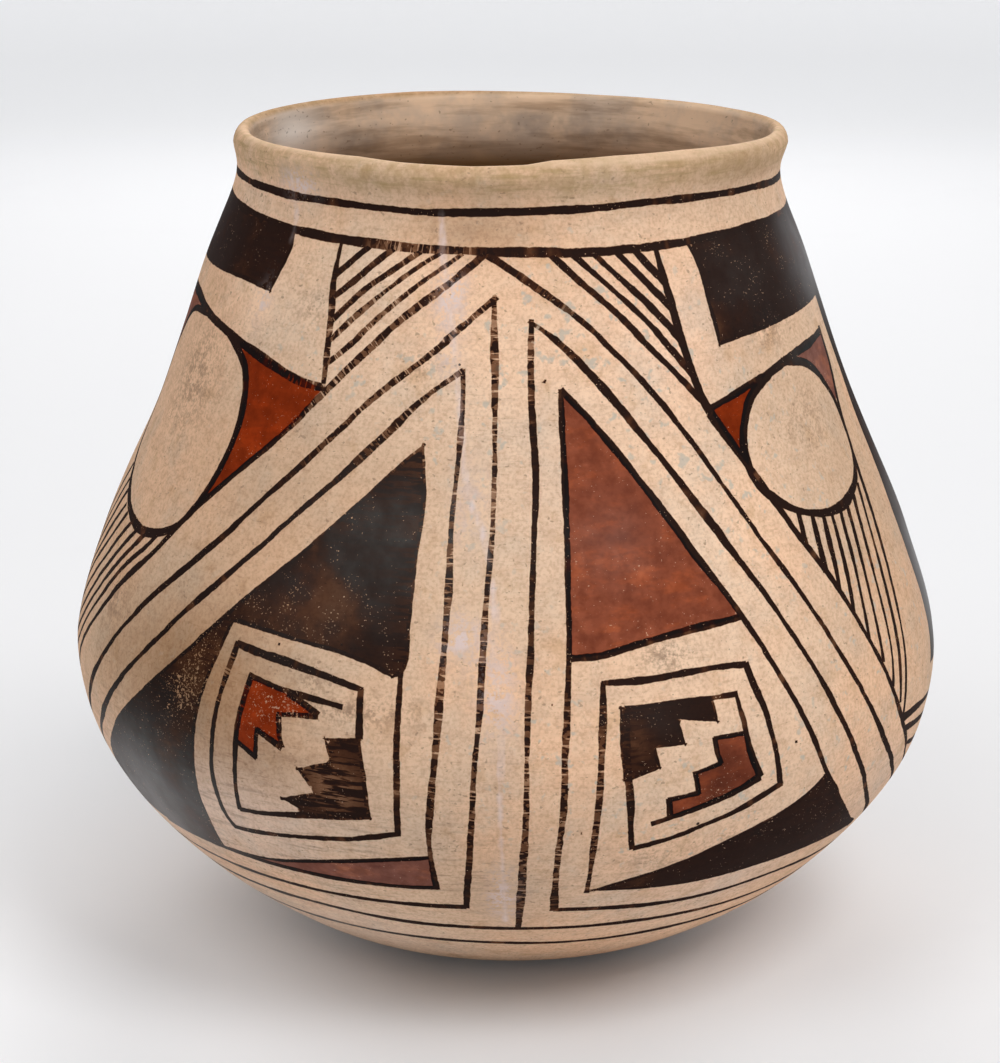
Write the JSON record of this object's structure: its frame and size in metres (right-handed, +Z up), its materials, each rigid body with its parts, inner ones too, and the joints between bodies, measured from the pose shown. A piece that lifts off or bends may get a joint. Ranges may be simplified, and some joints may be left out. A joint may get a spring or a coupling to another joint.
{
  "type": "olla",
  "caption": "Wide-bellied hand-built clay jar on a small flat base, with a long sloping shoulder, a short flared rim and black, red and cream painting.",
  "frame": {"origin": "middle of the flat resting face under the base", "axes": "+Z up the jar's axis towards its mouth, -Y towards the front of the painting, +X to the viewer's right"},
  "size_m": [0.273, 0.273, 0.2525],
  "materials": {
    "painted_clay": "cream slip burnished to a satin gloss, painted in brown-black and orange-red"
  },
  "bodies": {
    "root": {"olla_body": "painted_clay"}
  },
  "joints": []
}
